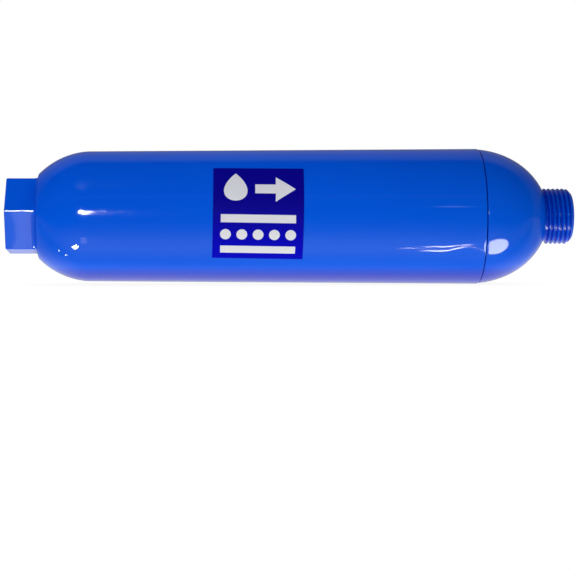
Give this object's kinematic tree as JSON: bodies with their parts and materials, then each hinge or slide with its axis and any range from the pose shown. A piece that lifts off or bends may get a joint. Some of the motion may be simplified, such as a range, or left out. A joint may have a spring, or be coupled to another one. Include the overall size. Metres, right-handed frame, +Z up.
{
  "type": "inline water filter",
  "caption": "Inline water filter cartridge: long domed blue tube with a hexagonal female hose inlet, a threaded male outlet, and a sprung bed of filter media inside.",
  "frame": {"origin": "under the middle of the filter's length, on the surface that it lies on", "axes": "+X along the filter's axis towards the outlet, the way the water flows; the label faces -Y; +Z up"},
  "size_m": [0.272, 0.0656, 0.0655],
  "materials": {
    "blue_plastic": "gloss",
    "white_plastic": "satin",
    "rubber": "matte",
    "steel": "satin",
    "felt": "matte",
    "fine_felt": "matte",
    "copper_zinc": "matte",
    "carbon": "matte",
    "label": "satin"
  },
  "bodies": {
    "filter": {"housing_body": "blue_plastic", "outlet_cap": "blue_plastic", "label_film": "label", "hose_washer": "rubber", "inlet_screen": "steel", "inlet_screen_rim": "steel", "inlet_gasket": "rubber", "inlet_plate": "white_plastic", "inlet_net": "white_plastic", "inlet_felt": "felt", "copper_zinc_bed": "copper_zinc", "divider_felt": "felt", "carbon_bed": "carbon", "bed_spring": "steel", "spring_seat": "white_plastic"},
    "sprung_stack": {"carbon_felt": "felt", "sediment_pad": "fine_felt", "outlet_net": "white_plastic", "sprung_plate": "white_plastic", "wiper_ring": "rubber"}
  },
  "joints": [
    {"name": "bed_plate_slide", "type": "slide", "parent": "filter", "child": "sprung_stack", "axis": [1, 0, 0], "range_m": [0, 0.007], "stiffness_N_per_m": 900, "springref_m": -0.012, "deforming": ["bed_spring"]}
  ]
}
